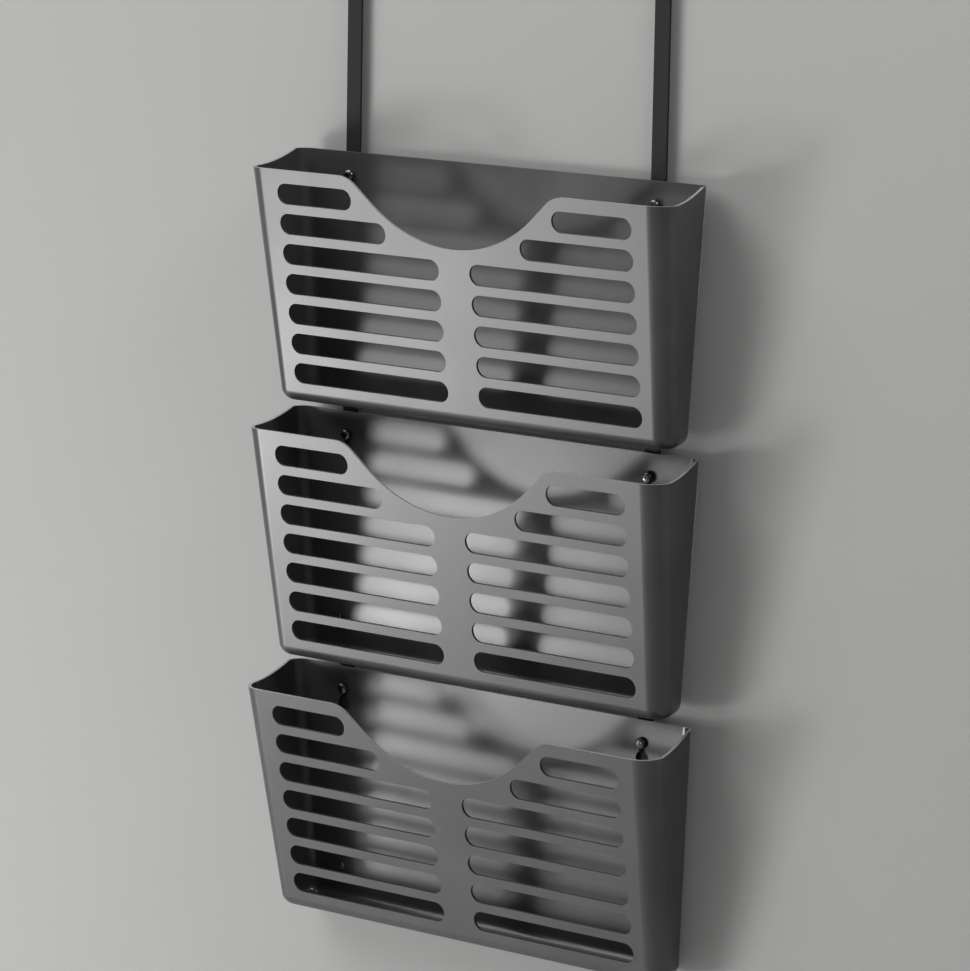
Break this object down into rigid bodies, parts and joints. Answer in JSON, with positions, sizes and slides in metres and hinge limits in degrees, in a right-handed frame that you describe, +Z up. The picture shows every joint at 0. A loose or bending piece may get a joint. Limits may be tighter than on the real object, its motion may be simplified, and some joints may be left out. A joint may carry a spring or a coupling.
{
  "type": "hanging document pocket",
  "caption": "Wall file with slotted, scooped plastic pockets that lift off screws on two steel hook straps hung over a partition's top edge.",
  "frame": {"origin": "midway between the two straps, on the plane of their back faces, at the height of the hooks' undersides, where the straps rest on the partition's top edge", "axes": "+X to the right of someone facing the pockets, +Y into the wall, +Z up"},
  "size_m": [0.3468, 0.1207, 0.687],
  "materials": {
    "pocket_plastic": "satin moulded polystyrene, charcoal",
    "strap_paint": "black powder coat on flat steel bar",
    "fastener_steel": "dark zinc-plated steel"
  },
  "bodies": {
    "hanger": {"hanger_strap_left": "strap_paint", "hanger_strap_right": "strap_paint", "screw_top_left": "fastener_steel", "screw_top_right": "fastener_steel", "screw_middle_left": "fastener_steel", "screw_middle_right": "fastener_steel", "screw_bottom_left": "fastener_steel", "screw_bottom_right": "fastener_steel", "nut_top_left": "fastener_steel", "nut_top_right": "fastener_steel", "nut_middle_left": "fastener_steel", "nut_middle_right": "fastener_steel", "nut_bottom_left": "fastener_steel", "nut_bottom_right": "fastener_steel"},
    "pocket_top": {"pocket_top": "pocket_plastic"},
    "pocket_middle": {"pocket_middle": "pocket_plastic"},
    "pocket_bottom": {"pocket_bottom": "pocket_plastic"}
  },
  "joints": [
    {"name": "lift_top", "type": "slide", "parent": "hanger", "child": "pocket_top", "axis": [0, 0, 1], "range_m": [0, 0.0107]},
    {"name": "lift_middle", "type": "slide", "parent": "hanger", "child": "pocket_middle", "axis": [0, 0, 1], "range_m": [0, 0.008]},
    {"name": "lift_bottom", "type": "slide", "parent": "hanger", "child": "pocket_bottom", "axis": [0, -0.0436, 0.999], "range_m": [0, 0.008]}
  ]
}
